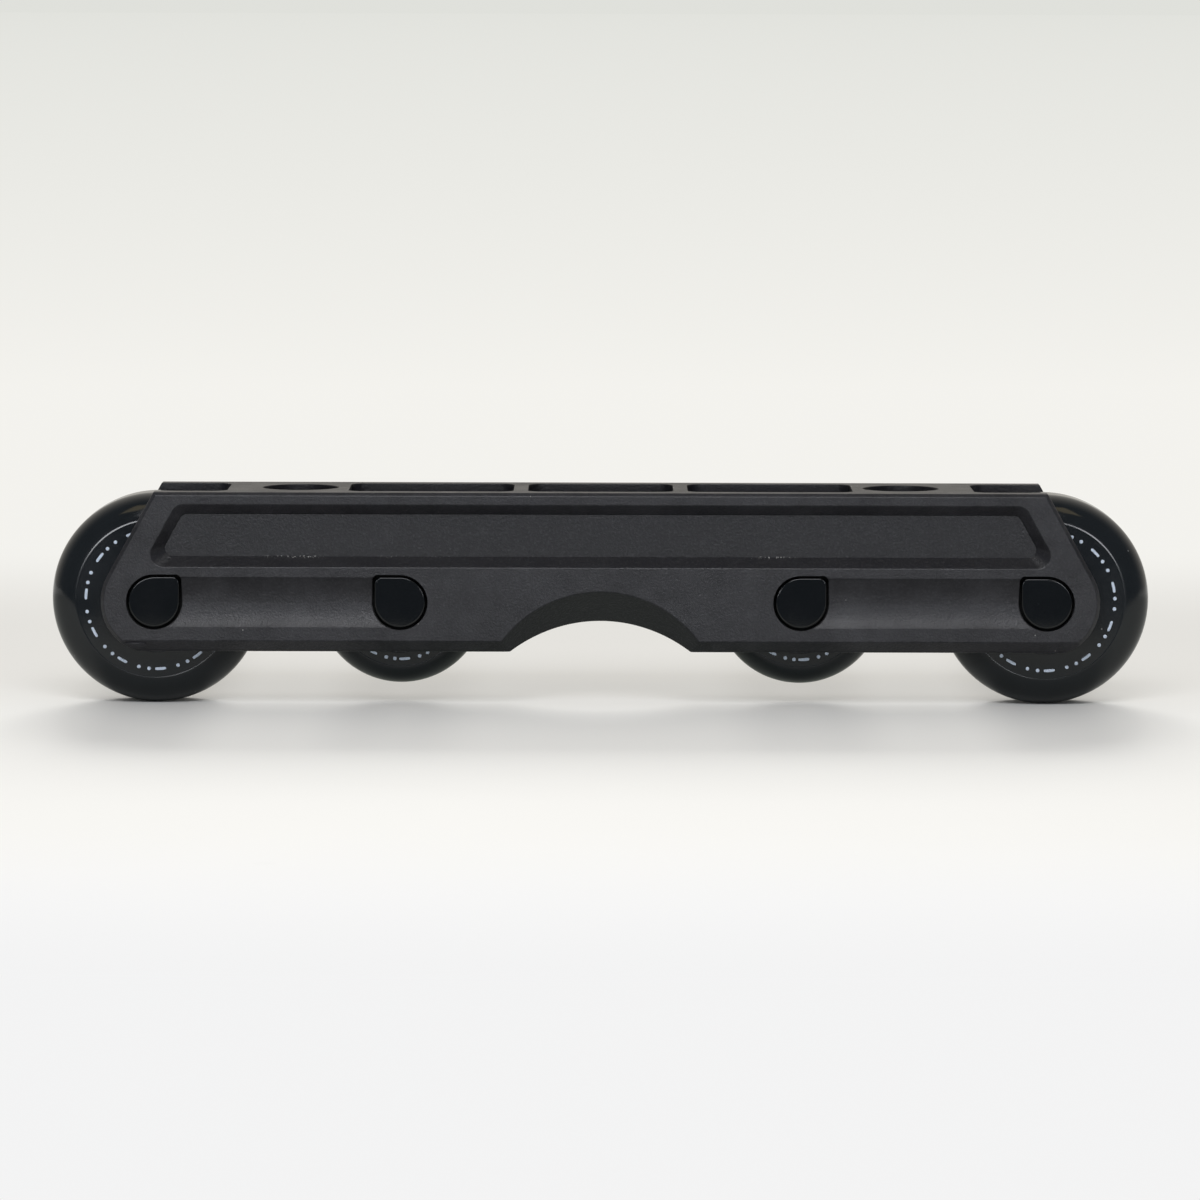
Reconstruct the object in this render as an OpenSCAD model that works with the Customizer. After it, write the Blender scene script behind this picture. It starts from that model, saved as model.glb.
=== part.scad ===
// Anti-rocker inline skate frame.
// One moulded chassis carries two large outer wheels and two smaller inner wheels on keyed axles.
// X runs along the skate, the keyed axle heads face -Y, and the outer wheels stand on Z = 0.

/* [Layout] */
// Distance between the two outer axles
wheelbase = 245; // [238:1:260]
// Distance between the two inner axles
inner_span = 110; // [104:1:116]
// Distance between the two boot bolts
bolt_span = 166; // [162:0.5:170]

/* [Wheels] */
// Diameter of the outer wheels
wheel_d = 58; // [56:0.5:60]
// Diameter of the flat side face of an outer wheel
wheel_face_d = 42.6; // [38:0.2:46]
// Diameter of the inner anti-rocker wheels
antirocker_d = 47; // [44:0.5:49]
// Diameter of the flat side face of an inner wheel
antirocker_face_d = 36; // [33:0.2:38]
// Width of a tyre across its side faces
tyre_w = 24; // [22:0.25:26]
// Width of the flat middle of the tread
tread_w = 8; // [5:0.5:12]
// Height of the raised rim round the side face
face_step = 0.5; // [0.2:0.1:0.8]
// Diameter of the hub that the tyre is cast round
hub_d = 29; // [27:0.5:31]
// Width of each ridge that keys the hub into the tyre
hub_ridge_w = 3; // [2:0.25:4]
// Height of each ridge that keys the hub into the tyre
hub_ridge_h = 1.2; // [0.6:0.1:1.6]
// Distance of each ridge from the middle of the wheel
hub_ridge_y = 6; // [3:0.25:9]
// Inner diameter of the ring that parts the two bearings in the hub
hub_stop_d = 19.4; // [19:0.1:20.5]

/* [Bearings] */
// Bore of a bearing
bearing_bore = 8; // [7:0.1:8.4]
// Outer diameter of a bearing
bearing_od = 22; // [21.6:0.1:24]
// Width of a bearing
bearing_w = 7; // [6:0.1:8]
// Number of balls in a bearing
ball_count = 7; // [6:1:8]
// Diameter of a ball
ball_d = 3.97; // [3.6:0.01:4.1]
// Depth of the ball groove in each ring
race_depth = 0.55; // [0.4:0.05:0.8]
// Clearance between a ball and its groove
race_gap = 0.05; // [0.02:0.01:0.08]
// Thickness of the ball cage, measured outwards from the axle
cage_t = 1.6; // [1.2:0.1:2]
// Width of the ball cage along the axle
cage_w = 4.6; // [4.4:0.1:4.8]
// Clearance between a ball and its pocket in the cage
cage_gap = 0.1; // [0.05:0.01:0.14]
// Thickness of a bearing shield
shield_t = 0.4; // [0.3:0.05:0.5]
// Depth of the shield below the face of the bearing
shield_inset = 0.4; // [0.2:0.05:0.4]
// Width of the step in the outer ring that the shield is pressed into
shield_seat = 0.55; // [0.4:0.05:0.7]
// Clearance between the shield and the inner ring
shield_gap = 0.25; // [0.15:0.05:0.4]
// Length of the sleeve between the two bearings of a wheel
spacer_l = 10.2; // [9.5:0.1:11]
// Outer diameter of the sleeve between the bearings
spacer_d = 10.6; // [10:0.1:11.4]

/* [Axles] */
// Clearance between the axle and the bearings
axle_gap = 0.02; // [0.01:0.01:0.05]
// Clearance between the axle and the frame
frame_bore_gap = 0.07; // [0.04:0.01:0.2]
// Diameter of the round part of the keyed axle head
head_d = 13.8; // [12:0.1:15]
// Radius of the key corner of the axle head
head_corner_r = 1.8; // [1:0.1:3]
// Thickness of the axle head and of the screw head
head_t = 3.2; // [2.6:0.1:3.6]
// Depth of both heads below the outer face of the frame
head_inset = 0.3; // [0.1:0.05:0.8]
// Gap round the heads in their pockets
head_gap = 0.7; // [0.4:0.05:1]
// Width of the rounded front edge of both heads
head_bevel = 0.5; // [0.2:0.05:0.8]
// Thread diameter of the axle screw
screw_d = 6; // [5:0.25:6]
// Clearance between the screw and the threaded bore of the axle
screw_gap = 0.05; // [0.03:0.01:0.1]
// Diameter of the screw head
screw_head_d = 13; // [11:0.1:14]
// Width across the flats of the hex socket in the screw
hex_af = 4; // [3:0.25:5]
// Depth of the hex socket in the screw
hex_depth = 2.2; // [1.5:0.1:2.4]
// Length of the screw below its head
screw_l = 16; // [12:0.5:20]
// Gap between the end of the axle and the screw head
screw_pull = 0.8; // [0.4:0.1:1.5]

/* [Frame] */
// Thickness of each side wall
wall_t = 6; // [5:0.25:8]
// Height of the bosses inside the walls that the bearings run against
boss_h = 1.85; // [1.5:0.05:3]
// Diameter of those bosses
boss_d = 11.6; // [10:0.1:12]
// End play of the bearings between the bosses
boss_gap = 0.05; // [0.02:0.01:0.1]
// Height of the boot deck above the tops of the outer wheels
deck_rise = 1.2; // [0.6:0.1:4]
// Thickness of the boot deck
deck_t = 6.5; // [5.5:0.25:8]
// Depth of the walls below the axles
skirt_drop = 13.8; // [12:0.1:14.4]
// Radius of the wall ends round the outer axles
end_r = 14.6; // [14.5:0.1:17]
// Bevel along the top and the ends of the walls
edge_bevel = 0.9; // [0.4:0.1:1.5]
// Bevel along the bottom of the walls
skirt_bevel = 3.2; // [2:0.1:4]
// Clearance between a wheel and the frame round it
well_gap = 1.5; // [1:0.1:2]

/* [Grind groove] */
// Length of the groove at the bottom of the frame
groove_l = 49.6; // [44:0.2:52]
// Height of the groove above the bottom of the frame
groove_rise = 8; // [6:0.1:10]
// Length of the flared mouth above the bottom bevel
mouth_l = 54.2; // [48:0.2:56]
// Height of the flared mouth above the bottom of the frame
mouth_rise = 16.9; // [14:0.1:18]
// Depth of the flared mouth into the side of the frame
mouth_depth = 9; // [7:0.1:11]
// Thickness of the saddle above the groove
saddle_t = 8; // [6:0.1:10]
// Length of the foot at each end of the groove
foot_l = 4.7; // [3:0.1:5]
// Height of that foot
foot_h = 5.8; // [4:0.1:8]
// Fillet between the foot and the saddle wall above it
foot_r = 3; // [1:0.25:4]
// Fillet at the bottom of the saddle wall
saddle_r = 6; // [2:0.25:8]
// Fillet between the saddle wall and the deck
deck_r = 2; // [1:0.25:4]

/* [Deck] */
// Length of the middle pocket
pocket_l = 40; // [34:0.5:44]
// Thickness of the ribs beside the middle pocket
pocket_rib = 4; // [3:0.25:5]
// Thickness of the deck between the side pockets and the bolt seats
seat_rib = 3.1; // [2:0.1:4]
// Corner radius of the pockets
pocket_r = 4; // [2:0.25:6]
// Diameter of the round seat of each boot bolt
seat_d = 21; // [18:0.25:23]
// Depth of the round seat of each boot bolt
seat_depth = 4; // [2:0.1:5]
// Length of the pad under each boot bolt
pad_l = 20; // [16:0.5:22]
// Thickness of the pad under each boot bolt, down from the deck top
pad_t = 11; // [9:0.1:12]
// Width of the boot bolt slots
slot_w = 6.6; // [6.2:0.1:8]
// Length of the boot bolt slots
slot_l = 12.6; // [9:0.1:15]

/* [Side panels and flutes] */
// Distance from the deck top down to the side panel
panel_top = 3.3; // [2.5:0.1:5]
// Height of the side panel's lower edge above the axles
panel_low = 9.6; // [8.2:0.1:11]
// Distance between the side panel and the sloping wall ends
panel_end = 7; // [5:0.1:9]
// Depth of the side panel
panel_depth = 2.9; // [1.5:0.1:3.4]
// Width of the sloping border of the side panel
panel_border = 2.85; // [2:0.05:4]
// Corner radius of the side panel at the outer face
panel_r = 3.6; // [3:0.1:5]
// Corner radius of the side panel at its floor
panel_floor_r = 2.2; // [1:0.1:2.8]
// Height of the flute between each outer and inner axle
flute_h = 13.7; // [10:0.1:14]
// Depth of the flute between each outer and inner axle
flute_depth = 1.85; // [1:0.05:2.4]

/* [Hidden] */
// Room that a cut takes beyond the surface it opens through, and overlap of joined forms
past = 1;
weld = 0.5;

// Places along X of the outer axles, inner axles and boot bolts
outer_x = wheelbase / 2;
inner_x = inner_span / 2;
bolt_x = bolt_span / 2;

// Heights of the axles, deck and bottom edge
axle_z = wheel_d / 2;
deck_z = wheel_d + deck_rise;
deck_under_z = deck_z - deck_t;
skirt_z = axle_z - skirt_drop;
deck_h = deck_z - axle_z;

// Half widths across the frame, worked out from the bearings to the outer face
bearing_y = (spacer_l + bearing_w) / 2;
stack_y = spacer_l / 2 + bearing_w;
boss_y = stack_y + boss_gap;
channel_y = boss_y + boss_h;
face_y = channel_y + wall_t;
seat_y = face_y - head_inset - head_t;

// Radii inside a bearing and round the axle
race_r = (bearing_bore + bearing_od) / 4;
inner_ring_r = race_r - ball_d / 2 + race_depth;
outer_ring_r = race_r + ball_d / 2 - race_depth;
shield_r = outer_ring_r + shield_seat;
shield_y = bearing_w / 2 - shield_inset - shield_t;
axle_r = bearing_bore / 2 - axle_gap;
axle_end_y = seat_y - screw_pull;
key_pocket_r = head_d / 2 + head_gap;
screw_pocket_r = screw_head_d / 2 + head_gap;

// Slope of the wall ends, which run from above the outer axle to their round ends
end_slope = asin(end_r / deck_h);
end_x = outer_x + end_r;

// Reach of the end notches and the side pockets in the deck
notch_x = outer_x - sqrt(pow(wheel_d / 2 + well_gap, 2) - pow(deck_under_z - axle_z, 2)) - weld;
pocket_x = pocket_l / 2;
side_pocket_x0 = pocket_x + pocket_rib;
side_pocket_x1 = bolt_x - seat_d / 2 - seat_rib;
saddle_z = skirt_z + groove_rise + saddle_t;
foot_x = groove_l / 2 + foot_l;

// Arcs of the grind groove and of its mouth, each given by its radius and centre height
groove_r = arc_radius(groove_l, groove_rise);
groove_z = skirt_z + groove_rise - groove_r;
mouth_r = arc_radius(mouth_l, mouth_rise - skirt_bevel);
mouth_z = skirt_z + mouth_rise - mouth_r;
flute_r = arc_radius(flute_h, flute_depth);

// Half angle of the mouth's arc, which ends below the frame
mouth_sweep = 75;

// Facets of an arc in an outline, of the round part of a keyed head, of a turned surface and of a ball
arc_steps = 12;
key_steps = 36;
round_fn = 96;
ball_fn = 32;

// Name, place along X, diameter, side face diameter and key direction of each wheel
STATIONS = [
    ["rear", -outer_x, wheel_d, wheel_face_d, 1],
    ["rear_antirocker", -inner_x, antirocker_d, antirocker_face_d, -1],
    ["front_antirocker", inner_x, antirocker_d, antirocker_face_d, 1],
    ["front", outer_x, wheel_d, wheel_face_d, -1],
];
PIECES = [
    "tyre", "hub", "bearing_outer_rings", "bearing_inner_rings", "bearing_balls", "bearing_cages",
    "bearing_shields", "bearing_spacer", "axle", "axle_screw",
];

// Radius of the arc that spans a chord and rises by the given height
function arc_radius(chord, rise) = (chord * chord / 4 + rise * rise) / (2 * rise);

function mix(a, b, t) = a + (b - a) * t;

function unit(v) = v / norm(v);

// Points of an arc from one angle to another
function arc(centre, r, from, to, steps = arc_steps) =
    [for (i = [0:steps]) let (a = mix(from, to, i / steps)) centre + r * [cos(a), sin(a)]];

// Tangent arc that rounds the corner at b between a and c
function corner(a, b, c, r) =
    let (
        u = unit(a - b),
        v = unit(c - b),
        half = acos(u * v) / 2,
        centre = b + unit(u + v) * r / sin(half),
        start = b + u * r / tan(half) - centre,
        stop = b + v * r / tan(half) - centre,
        from = atan2(start.y, start.x),
        turn = (atan2(stop.y, stop.x) - from + 540) % 360 - 180
    )
    r > 0 ? arc(centre, r, from, from + turn) : [b];

// Outline with each corner rounded to its own radius
function rounded(points, radii) =
    let (n = len(points))
    [for (i = [0:n - 1]) each corner(points[(i + n - 1) % n], points[i], points[(i + 1) % n], radii[i])];

function box_outline(x0, x1, y) = [[x0, -y], [x1, -y], [x1, y], [x0, y]];

// Side view of the chassis, drawn in by an inset
function side_half(inset) =
    let (
        centre = [outer_x, axle_z],
        r = end_r - inset,
        top = deck_h - inset,
        low = asin(min(1, (skirt_drop - inset) / r))
    )
    concat(
        arc(centre, r, -low, end_slope),
        [centre + [(r - top * sin(end_slope)) / cos(end_slope), top]]
    );
function side_outline(inset) =
    let (half = side_half(inset), n = len(half))
    concat(half, [for (i = [n - 1:-1:0]) [-half[i].x, half[i].y]]);

// Side view of a side panel: t is 0 at the outer face and 1 at the floor
function panel_outline(t) =
    let (
        inset = panel_border * t,
        r = mix(panel_r, panel_floor_r, t),
        high = deck_h - panel_top - inset,
        low = panel_low + inset,
        reach = end_r - panel_end - inset,
        x_high = outer_x + (reach - high * sin(end_slope)) / cos(end_slope),
        x_low = outer_x + (reach - low * sin(end_slope)) / cos(end_slope)
    )
    rounded(
        [for (p = [[x_low, low], [x_high, high], [-x_high, high], [-x_low, low]]) p + [0, axle_z]],
        [r, r, r, r]
    );

// Side view of the groove's mouth: t is 0 at the outer face and 1 where it meets the groove
function mouth_outline(t) =
    arc([0, mix(mouth_z, groove_z, t)], mix(mouth_r, groove_r, t), 90 - mouth_sweep, 90 + mouth_sweep);

// Round outline of a given radius with one square corner, rounded a little
function key_outline(r, corner_r) =
    concat(arc([0, 0], r, 90, 360, key_steps), corner([r, 0], [r, r], [0, r], corner_r));

// Solid through a row of outlines, each drawn anticlockwise in the side view, at rising places y
module loft(outlines, ys) {
    n = len(outlines[0]);
    last = len(outlines) - 1;
    points = [for (k = [0:last]) for (p = outlines[k]) [p.x, ys[k], p.y]];
    sides = [
        for (k = [0:last - 1])
            for (i = [0:n - 1])
                let (a = k * n, b = a + n, j = (i + 1) % n)
                    each [[a + i, a + j, b + j], [a + i, b + j, b + i]]
    ];
    caps = [[for (i = [n - 1:-1:0]) i], [for (i = [0:n - 1]) last * n + i]];
    polyhedron(points, concat(caps, sides), convexity = 4);
}

// Side view outline carried across the skate from y0 to y1
module across(y0, y1) {
    translate([0, y1, 0])
        rotate([90, 0, 0])
            linear_extrude(y1 - y0)
                children();
}

module rod(r, y0, y1) {
    across(y0, y1)
        circle(r, $fn = round_fn);
}

// Section of radius and y, turned about the axle
module turned() {
    rotate([-90, 0, 0])
        rotate_extrude($fn = round_fn)
            children();
}

module both_sides() {
    children();
    mirror([0, 1, 0])
        children();
}

module both_ends() {
    children();
    mirror([1, 0, 0])
        children();
}

module at_axle(x) {
    translate([x, 0, axle_z])
        children();
}

// Turns the key corner of an axle towards the flute beside it
module keyed(s) {
    mirror([s[4] < 0 ? 1 : 0, 0, 0])
        children();
}

module at_axles() {
    for (s = STATIONS)
        at_axle(s[1])
            children();
}

module in_both_bearings() {
    for (side = [-1, 1])
        translate([0, side * bearing_y, 0])
            children();
}

module chassis_block() {
    loft(
        [for (inset = [edge_bevel, 0, 0, edge_bevel]) side_outline(inset)],
        [-face_y, edge_bevel - face_y, face_y - edge_bevel, face_y]
    );
}

// Side view of the room that the two wheels at one end need
module wheel_wells() {
    translate([inner_x, axle_z])
        circle(antirocker_d / 2 + well_gap, $fn = round_fn);
    translate([outer_x, axle_z])
        circle(wheel_d / 2 + well_gap, $fn = round_fn);
}

// Open channel between the walls, from the saddle to the end of the frame
module wheel_channel() {
    deep = skirt_z - past;
    far = end_x + past;
    across(-channel_y, channel_y) {
        wheel_wells();
        polygon(rounded(
            [
                [side_pocket_x0, deck_under_z],
                [far, deck_under_z],
                [far, deep],
                [foot_x, deep],
                [foot_x, skirt_z + foot_h],
                [side_pocket_x0, saddle_z],
            ],
            [deck_r, 0, 0, 0, foot_r, saddle_r]
        ));
    }
}

module bolt_pad() {
    low_z = deck_z - pad_t;
    across(-channel_y - weld, channel_y + weld)
        difference() {
            translate([bolt_x - pad_l / 2, low_z])
                square([pad_l, deck_under_z + weld - low_z]);
            wheel_wells();
        }
}

module axle_bosses() {
    at_axles()
        both_sides()
            rod(boss_d / 2, boss_y, channel_y + weld);
}

module deck_pocket(x0, x1, floor_z) {
    r = pocket_r;
    translate([0, 0, floor_z])
        linear_extrude(deck_z - floor_z + past)
            polygon(rounded(box_outline(x0, x1, channel_y), [r, r, r, r]));
}

module bolt_seat() {
    translate([bolt_x, 0, deck_z - seat_depth])
        cylinder(d = seat_d, h = seat_depth + past, $fn = round_fn);
    translate([bolt_x, 0, deck_z - pad_t - past]) {
        for (side = [-1, 1])
            translate([side * (slot_l - slot_w) / 2, 0, 0])
                cylinder(d = slot_w, h = pad_t, $fn = round_fn);
        translate([(slot_w - slot_l) / 2, -slot_w / 2, 0])
            cube([slot_l - slot_w, slot_w, pad_t]);
    }
}

// Keyed pocket and bore on the head side, round pocket on the screw side
module axle_holes() {
    at_axles()
        rod(axle_r + frame_bore_gap, -face_y, face_y);
    for (s = STATIONS)
        at_axle(s[1]) {
            keyed(s)
                across(-face_y - past, -seat_y)
                    polygon(key_outline(key_pocket_r, head_corner_r));
            rod(screw_pocket_r, seat_y, face_y + past);
        }
}

module side_panel() {
    spare = past / panel_depth;
    loft([panel_outline(1), panel_outline(-spare)], [face_y - panel_depth, face_y + past]);
}

module flute() {
    translate([inner_x, face_y + flute_r - flute_depth, axle_z])
        rotate([0, 90, 0])
            cylinder(r = flute_r, h = outer_x - inner_x, $fn = round_fn);
}

module grind_groove() {
    spare = past / mouth_depth;
    translate([0, 0, groove_z])
        rod(groove_r, -face_y - past, face_y + past);
    both_sides()
        loft(
            [mouth_outline(1 + spare), mouth_outline(-spare)],
            [face_y - mouth_depth - past, face_y + past]
        );
}

module skirt_bevels() {
    inner = face_y - skirt_bevel - past;
    outer = face_y + past;
    low = skirt_z - past;
    high = skirt_z + skirt_bevel + past;
    both_sides()
        translate([-end_x, 0, 0])
            rotate([90, 0, 90])
                linear_extrude(2 * end_x)
                    polygon([[inner, low], [outer, high], [outer, low]]);
}

module frame() {
    color("#39393d")
        difference() {
            union() {
                difference() {
                    chassis_block();
                    both_ends()
                        wheel_channel();
                }
                both_ends()
                    bolt_pad();
                axle_bosses();
            }
            deck_pocket(-pocket_x, pocket_x, saddle_z);
            both_ends() {
                deck_pocket(side_pocket_x0, side_pocket_x1, deck_under_z - past);
                deck_pocket(notch_x, end_x + pocket_r, deck_under_z - past);
                bolt_seat();
                both_sides()
                    flute();
            }
            axle_holes();
            both_sides()
                side_panel();
            grind_groove();
            skirt_bevels();
        }
}

// Outer edge of the hub, half the section, from its middle to its side face
function hub_edge() =
    let (
        r = hub_d / 2,
        mid = hub_ridge_y,
        out = hub_ridge_w / 2,
        slope = hub_ridge_h / 2
    )
    [
        [r, mid - out],
        [r + hub_ridge_h, mid - out + slope],
        [r + hub_ridge_h, mid + out - slope],
        [r, mid + out],
    ];

function hub_edge_both() =
    let (half = hub_edge(), n = len(half))
    concat([for (i = [n - 1:-1:0]) [half[i].x, -half[i].y]], half);

// Half section of a tyre from its side face over the raised rim and the shoulder to the tread
function tyre_shoulder(d, face_d) =
    let (
        start = [face_d / 2 + face_step, tyre_w / 2 - face_step],
        run = start.y - tread_w / 2,
        drop = d / 2 - start.x,
        r = arc_radius(2 * run, drop),
        sweep = acos((r - drop) / r)
    )
    concat(
        [[face_d / 2, tyre_w / 2]],
        arc([d / 2 - r, tread_w / 2], r, sweep, 0)
    );

module tyre(s) {
    half = tyre_shoulder(s[2], s[3]);
    n = len(half);
    color("#1c2023")
        at_axle(s[1])
            turned()
                polygon(concat(
                    [[hub_d / 2, -tyre_w / 2]],
                    hub_edge_both(),
                    [[hub_d / 2, tyre_w / 2]],
                    half,
                    [for (i = [n - 1:-1:0]) [half[i].x, -half[i].y]]
                ));
}

module hub(s) {
    color("#2a2b2e")
        at_axle(s[1])
            turned()
                polygon(concat(
                    [[hub_d / 2, -stack_y]],
                    hub_edge_both(),
                    [
                        [hub_d / 2, stack_y],
                        [bearing_od / 2, stack_y],
                        [bearing_od / 2, spacer_l / 2],
                        [hub_stop_d / 2, spacer_l / 2],
                        [hub_stop_d / 2, -spacer_l / 2],
                        [bearing_od / 2, -spacer_l / 2],
                        [bearing_od / 2, -stack_y],
                    ]
                ));
}

module ball_groove() {
    translate([race_r, 0])
        circle(ball_d / 2 + race_gap, $fn = round_fn);
}

module bearing_outer_rings(s) {
    step_y = shield_y;
    half_w = bearing_w / 2;
    out = bearing_od / 2;
    color("#b9bcc0")
        at_axle(s[1])
            in_both_bearings()
                turned()
                    difference() {
                        polygon([
                            [out, -half_w],
                            [out, half_w],
                            [shield_r, half_w],
                            [shield_r, step_y],
                            [outer_ring_r, step_y],
                            [outer_ring_r, -step_y],
                            [shield_r, -step_y],
                            [shield_r, -half_w],
                        ]);
                        ball_groove();
                    }
}

module bearing_inner_rings(s) {
    bore = bearing_bore / 2;
    color("#c4c7ca")
        at_axle(s[1])
            in_both_bearings()
                turned()
                    difference() {
                        translate([bore, -bearing_w / 2])
                            square([inner_ring_r - bore, bearing_w]);
                        ball_groove();
                    }
}

// Places round the axle of the balls in one bearing
module at_balls() {
    for (i = [0:ball_count - 1])
        rotate([0, i * 360 / ball_count, 0])
            translate([race_r, 0, 0])
                children();
}

module bearing_balls(s) {
    color("#d6d8da")
        at_axle(s[1])
            in_both_bearings()
                at_balls()
                    sphere(d = ball_d, $fn = ball_fn);
}

module bearing_cages(s) {
    color("#8c7a4c")
        at_axle(s[1])
            in_both_bearings()
                difference() {
                    turned()
                        translate([race_r - cage_t / 2, -cage_w / 2])
                            square([cage_t, cage_w]);
                    at_balls()
                        rotate([0, 90, 0])
                            cylinder(d = ball_d + 2 * cage_gap, h = 2 * cage_t, center = true, $fn = ball_fn);
                }
}

module bearing_shields(s) {
    r = inner_ring_r + shield_gap;
    color("#9fa3a7")
        at_axle(s[1])
            in_both_bearings()
                both_sides()
                    turned()
                        translate([r, shield_y])
                            square([shield_r - r, shield_t]);
}

module bearing_spacer(s) {
    bore = bearing_bore / 2 + axle_gap;
    color("#a8abae")
        at_axle(s[1])
            turned()
                translate([bore, -spacer_l / 2])
                    square([spacer_d / 2 - bore, spacer_l]);
}

// Keyed head, shank through both walls and the bearings, and a threaded bore for the screw
module axle(s) {
    r = head_d / 2;
    front_y = seat_y + head_t;
    color("#16191b")
        at_axle(s[1])
            difference() {
                union() {
                    keyed(s)
                        loft(
                            [for (inset = [head_bevel, 0, 0]) key_outline(r - inset, head_corner_r - inset)],
                            [-front_y, head_bevel - front_y, -seat_y]
                        );
                    rod(axle_r, -seat_y - weld, axle_end_y);
                }
                rod(screw_d / 2 + screw_gap, seat_y - screw_l - past, axle_end_y + past);
            }
}

module axle_screw(s) {
    r = screw_head_d / 2;
    front_y = seat_y + head_t;
    color("#1b1d1f")
        at_axle(s[1])
            difference() {
                turned()
                    polygon([
                        [0, seat_y - screw_l],
                        [screw_d / 2, seat_y - screw_l],
                        [screw_d / 2, seat_y],
                        [r, seat_y],
                        [r, front_y - head_bevel],
                        [r - head_bevel, front_y],
                        [0, front_y],
                    ]);
                across(front_y - hex_depth, front_y + past)
                    circle(d = hex_af / cos(30), $fn = 6);
            }
}

frame();
for (s = STATIONS) {
    tyre(s);
    hub(s);
    bearing_outer_rings(s);
    bearing_inner_rings(s);
    bearing_balls(s);
    bearing_cages(s);
    bearing_shields(s);
    bearing_spacer(s);
    axle(s);
    axle_screw(s);
}
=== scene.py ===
import math

import bmesh
import bpy
import numpy as np
from mathutils import Matrix, Vector
from mathutils.bvhtree import BVHTree


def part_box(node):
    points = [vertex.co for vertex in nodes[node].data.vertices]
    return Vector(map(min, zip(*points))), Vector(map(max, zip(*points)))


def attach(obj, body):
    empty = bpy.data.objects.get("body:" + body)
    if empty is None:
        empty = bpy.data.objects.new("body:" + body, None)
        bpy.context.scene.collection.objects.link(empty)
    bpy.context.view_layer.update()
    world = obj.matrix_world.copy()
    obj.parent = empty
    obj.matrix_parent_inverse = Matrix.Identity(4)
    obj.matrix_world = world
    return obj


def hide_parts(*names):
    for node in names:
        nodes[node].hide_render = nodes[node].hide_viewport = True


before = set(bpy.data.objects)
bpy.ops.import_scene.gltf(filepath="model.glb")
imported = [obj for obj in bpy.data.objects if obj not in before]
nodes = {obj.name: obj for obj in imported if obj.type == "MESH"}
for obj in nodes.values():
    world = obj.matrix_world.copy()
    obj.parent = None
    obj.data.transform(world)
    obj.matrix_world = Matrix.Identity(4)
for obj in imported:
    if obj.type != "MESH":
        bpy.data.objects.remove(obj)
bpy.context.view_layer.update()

# Looks of the anti-rocker inline skate frame: moulded nylon, cast urethane wheels, keyed axles, studio sweep.
# Lengths of the pieces are in millimetres; bumps, studio and camera are in metres, like the meshes.
mm = 0.001
stations = ("rear", "rear_antirocker", "front_antirocker", "front")


# Axle place of a wheel: the middle of its tyre's box, in millimetres
def axlePlace(station):
    low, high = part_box(station + "_tyre")
    return np.array((low + high) / 2) / mm


# How far the outer and inner axles are from the middle, in metres
outerAxle, innerAxle = (abs(axlePlace(station)[0]) * mm for station in stations[:2])


# Corners of a closed section become quadratic curves that start and stop one radius short of the corner. A
# curve takes at most a share of the shorter side, and points that meet are merged
cornerFacts = dict(most=0.48, apart=1e-6)


def roundCorners(points, radii, steps):
    toBack = np.roll(points, 1, 0) - points
    toNext = np.roll(points, -1, 0) - points
    backLength = np.linalg.norm(toBack, axis=1)
    nextLength = np.linalg.norm(toNext, axis=1)
    cut = np.minimum(radii, cornerFacts["most"] * np.minimum(backLength, nextLength))
    start = points + toBack * (cut / backLength)[:, None]
    stop = points + toNext * (cut / nextLength)[:, None]
    t = np.linspace(0, 1, steps)[None, :, None]
    curve = (1 - t) ** 2 * start[:, None] + 2 * t * (1 - t) * points[:, None] + t ** 2 * stop[:, None]
    flat = curve.reshape(-1, 2)
    apart = np.linalg.norm(flat - np.roll(flat, 1, 0), axis=1) > cornerFacts["apart"]
    return flat[apart]


# Angles all the way round, in even steps
def roundAngles(steps):
    return np.linspace(0, 2 * np.pi, steps, endpoint=False)[None, :]


# Outlines in polar form stacked along the axle: ring i is radius i at every angle, at depth y i
def stackOutlines(radii, depths, angle, place):
    x = place[0] + radii * np.cos(angle)
    y = place[1] + depths[:, None] + 0 * angle
    z = place[2] + radii * np.sin(angle)
    return np.stack([x, y, z], axis=-1) * mm


# Section of radius and y turned about the axle: each of its points is a round outline
def turnSection(section, place, steps):
    return stackOutlines(section[:, :1], section[:, 1], roundAngles(steps), place)


# Points and faces of stacked rings: a quad joins points j and j+1 of a ring to the same points of the next.
# A row that loops joins its last ring to its first, and any other row gets a fan to the middle of both ends
def joinRings(rings, loop, start=0):
    ringCount, pointCount = rings.shape[:2]
    points = rings.reshape(-1, 3)
    row = np.arange(ringCount if loop else ringCount - 1)[:, None]
    this = start + row * pointCount
    after = start + (row + 1) % ringCount * pointCount
    j = np.arange(pointCount)[None, :]
    k = (j + 1) % pointCount
    quads = np.stack([this + j, this + k, after + k, after + j], axis=-1).reshape(-1, 4).tolist()
    if loop:
        return points, quads
    last = start + (ringCount - 1) * pointCount
    pole = start + ringCount * pointCount
    lowFan = np.stack([start + k[0], start + j[0], np.full(pointCount, pole)], axis=-1)
    highFan = np.stack([last + j[0], last + k[0], np.full(pointCount, pole + 1)], axis=-1)
    ends = [rings[0].mean(0), rings[-1].mean(0)]
    return np.vstack([points, *ends]), quads + lowFan.tolist() + highFan.tolist()


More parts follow.
